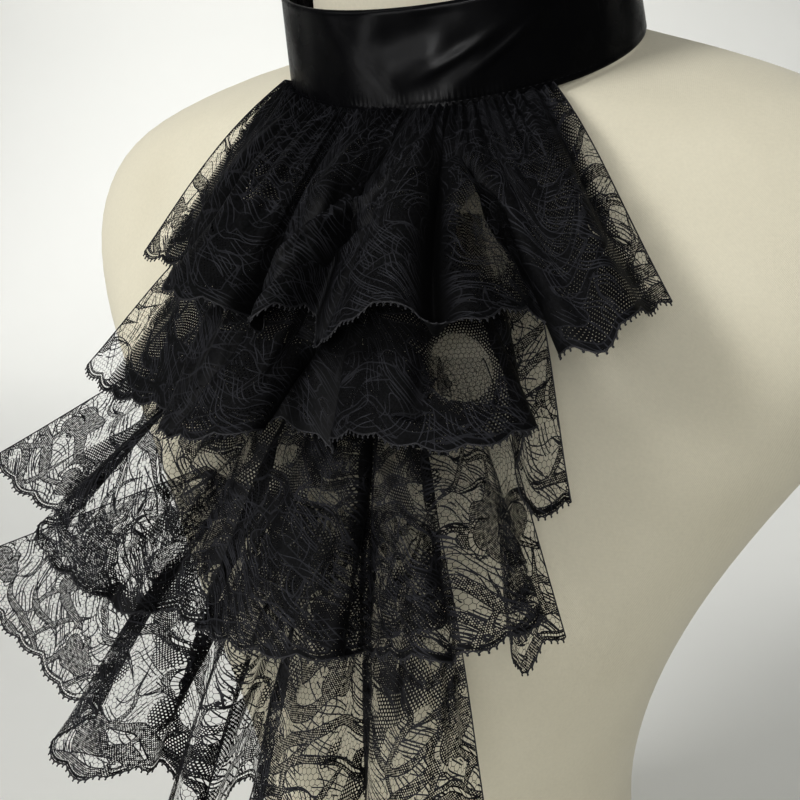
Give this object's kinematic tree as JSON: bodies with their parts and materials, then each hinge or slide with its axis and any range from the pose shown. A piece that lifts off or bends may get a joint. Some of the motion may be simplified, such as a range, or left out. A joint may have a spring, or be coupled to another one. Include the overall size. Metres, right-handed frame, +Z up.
{
  "type": "lace jabot collar on a limbless dress form",
  "caption": "Black satin stand neckband with four gathered tiers of scalloped lace hung down the front, worn on a smooth canvas dress form with a flat base.",
  "frame": {"origin": "centre of the form's flat underside, straight below the middle of the neckband's lower edge", "axes": "+Z up; the wearer faces -Y; +X is the wearer's left"},
  "size_m": [0.35, 0.2474, 0.4543],
  "materials": {
    "form_canvas": "matt beige canvas cover",
    "neckband_satin": "soft satin sheen",
    "panel_net": "matt net",
    "tier_lace": "matt openwork lace"
  },
  "bodies": {
    "root": {"dress_form": "form_canvas", "neckband": "neckband_satin", "net_panel": "panel_net", "lace_tier_1": "tier_lace", "lace_tier_2": "tier_lace", "lace_tier_3": "tier_lace", "lace_tier_4": "tier_lace"}
  },
  "joints": []
}
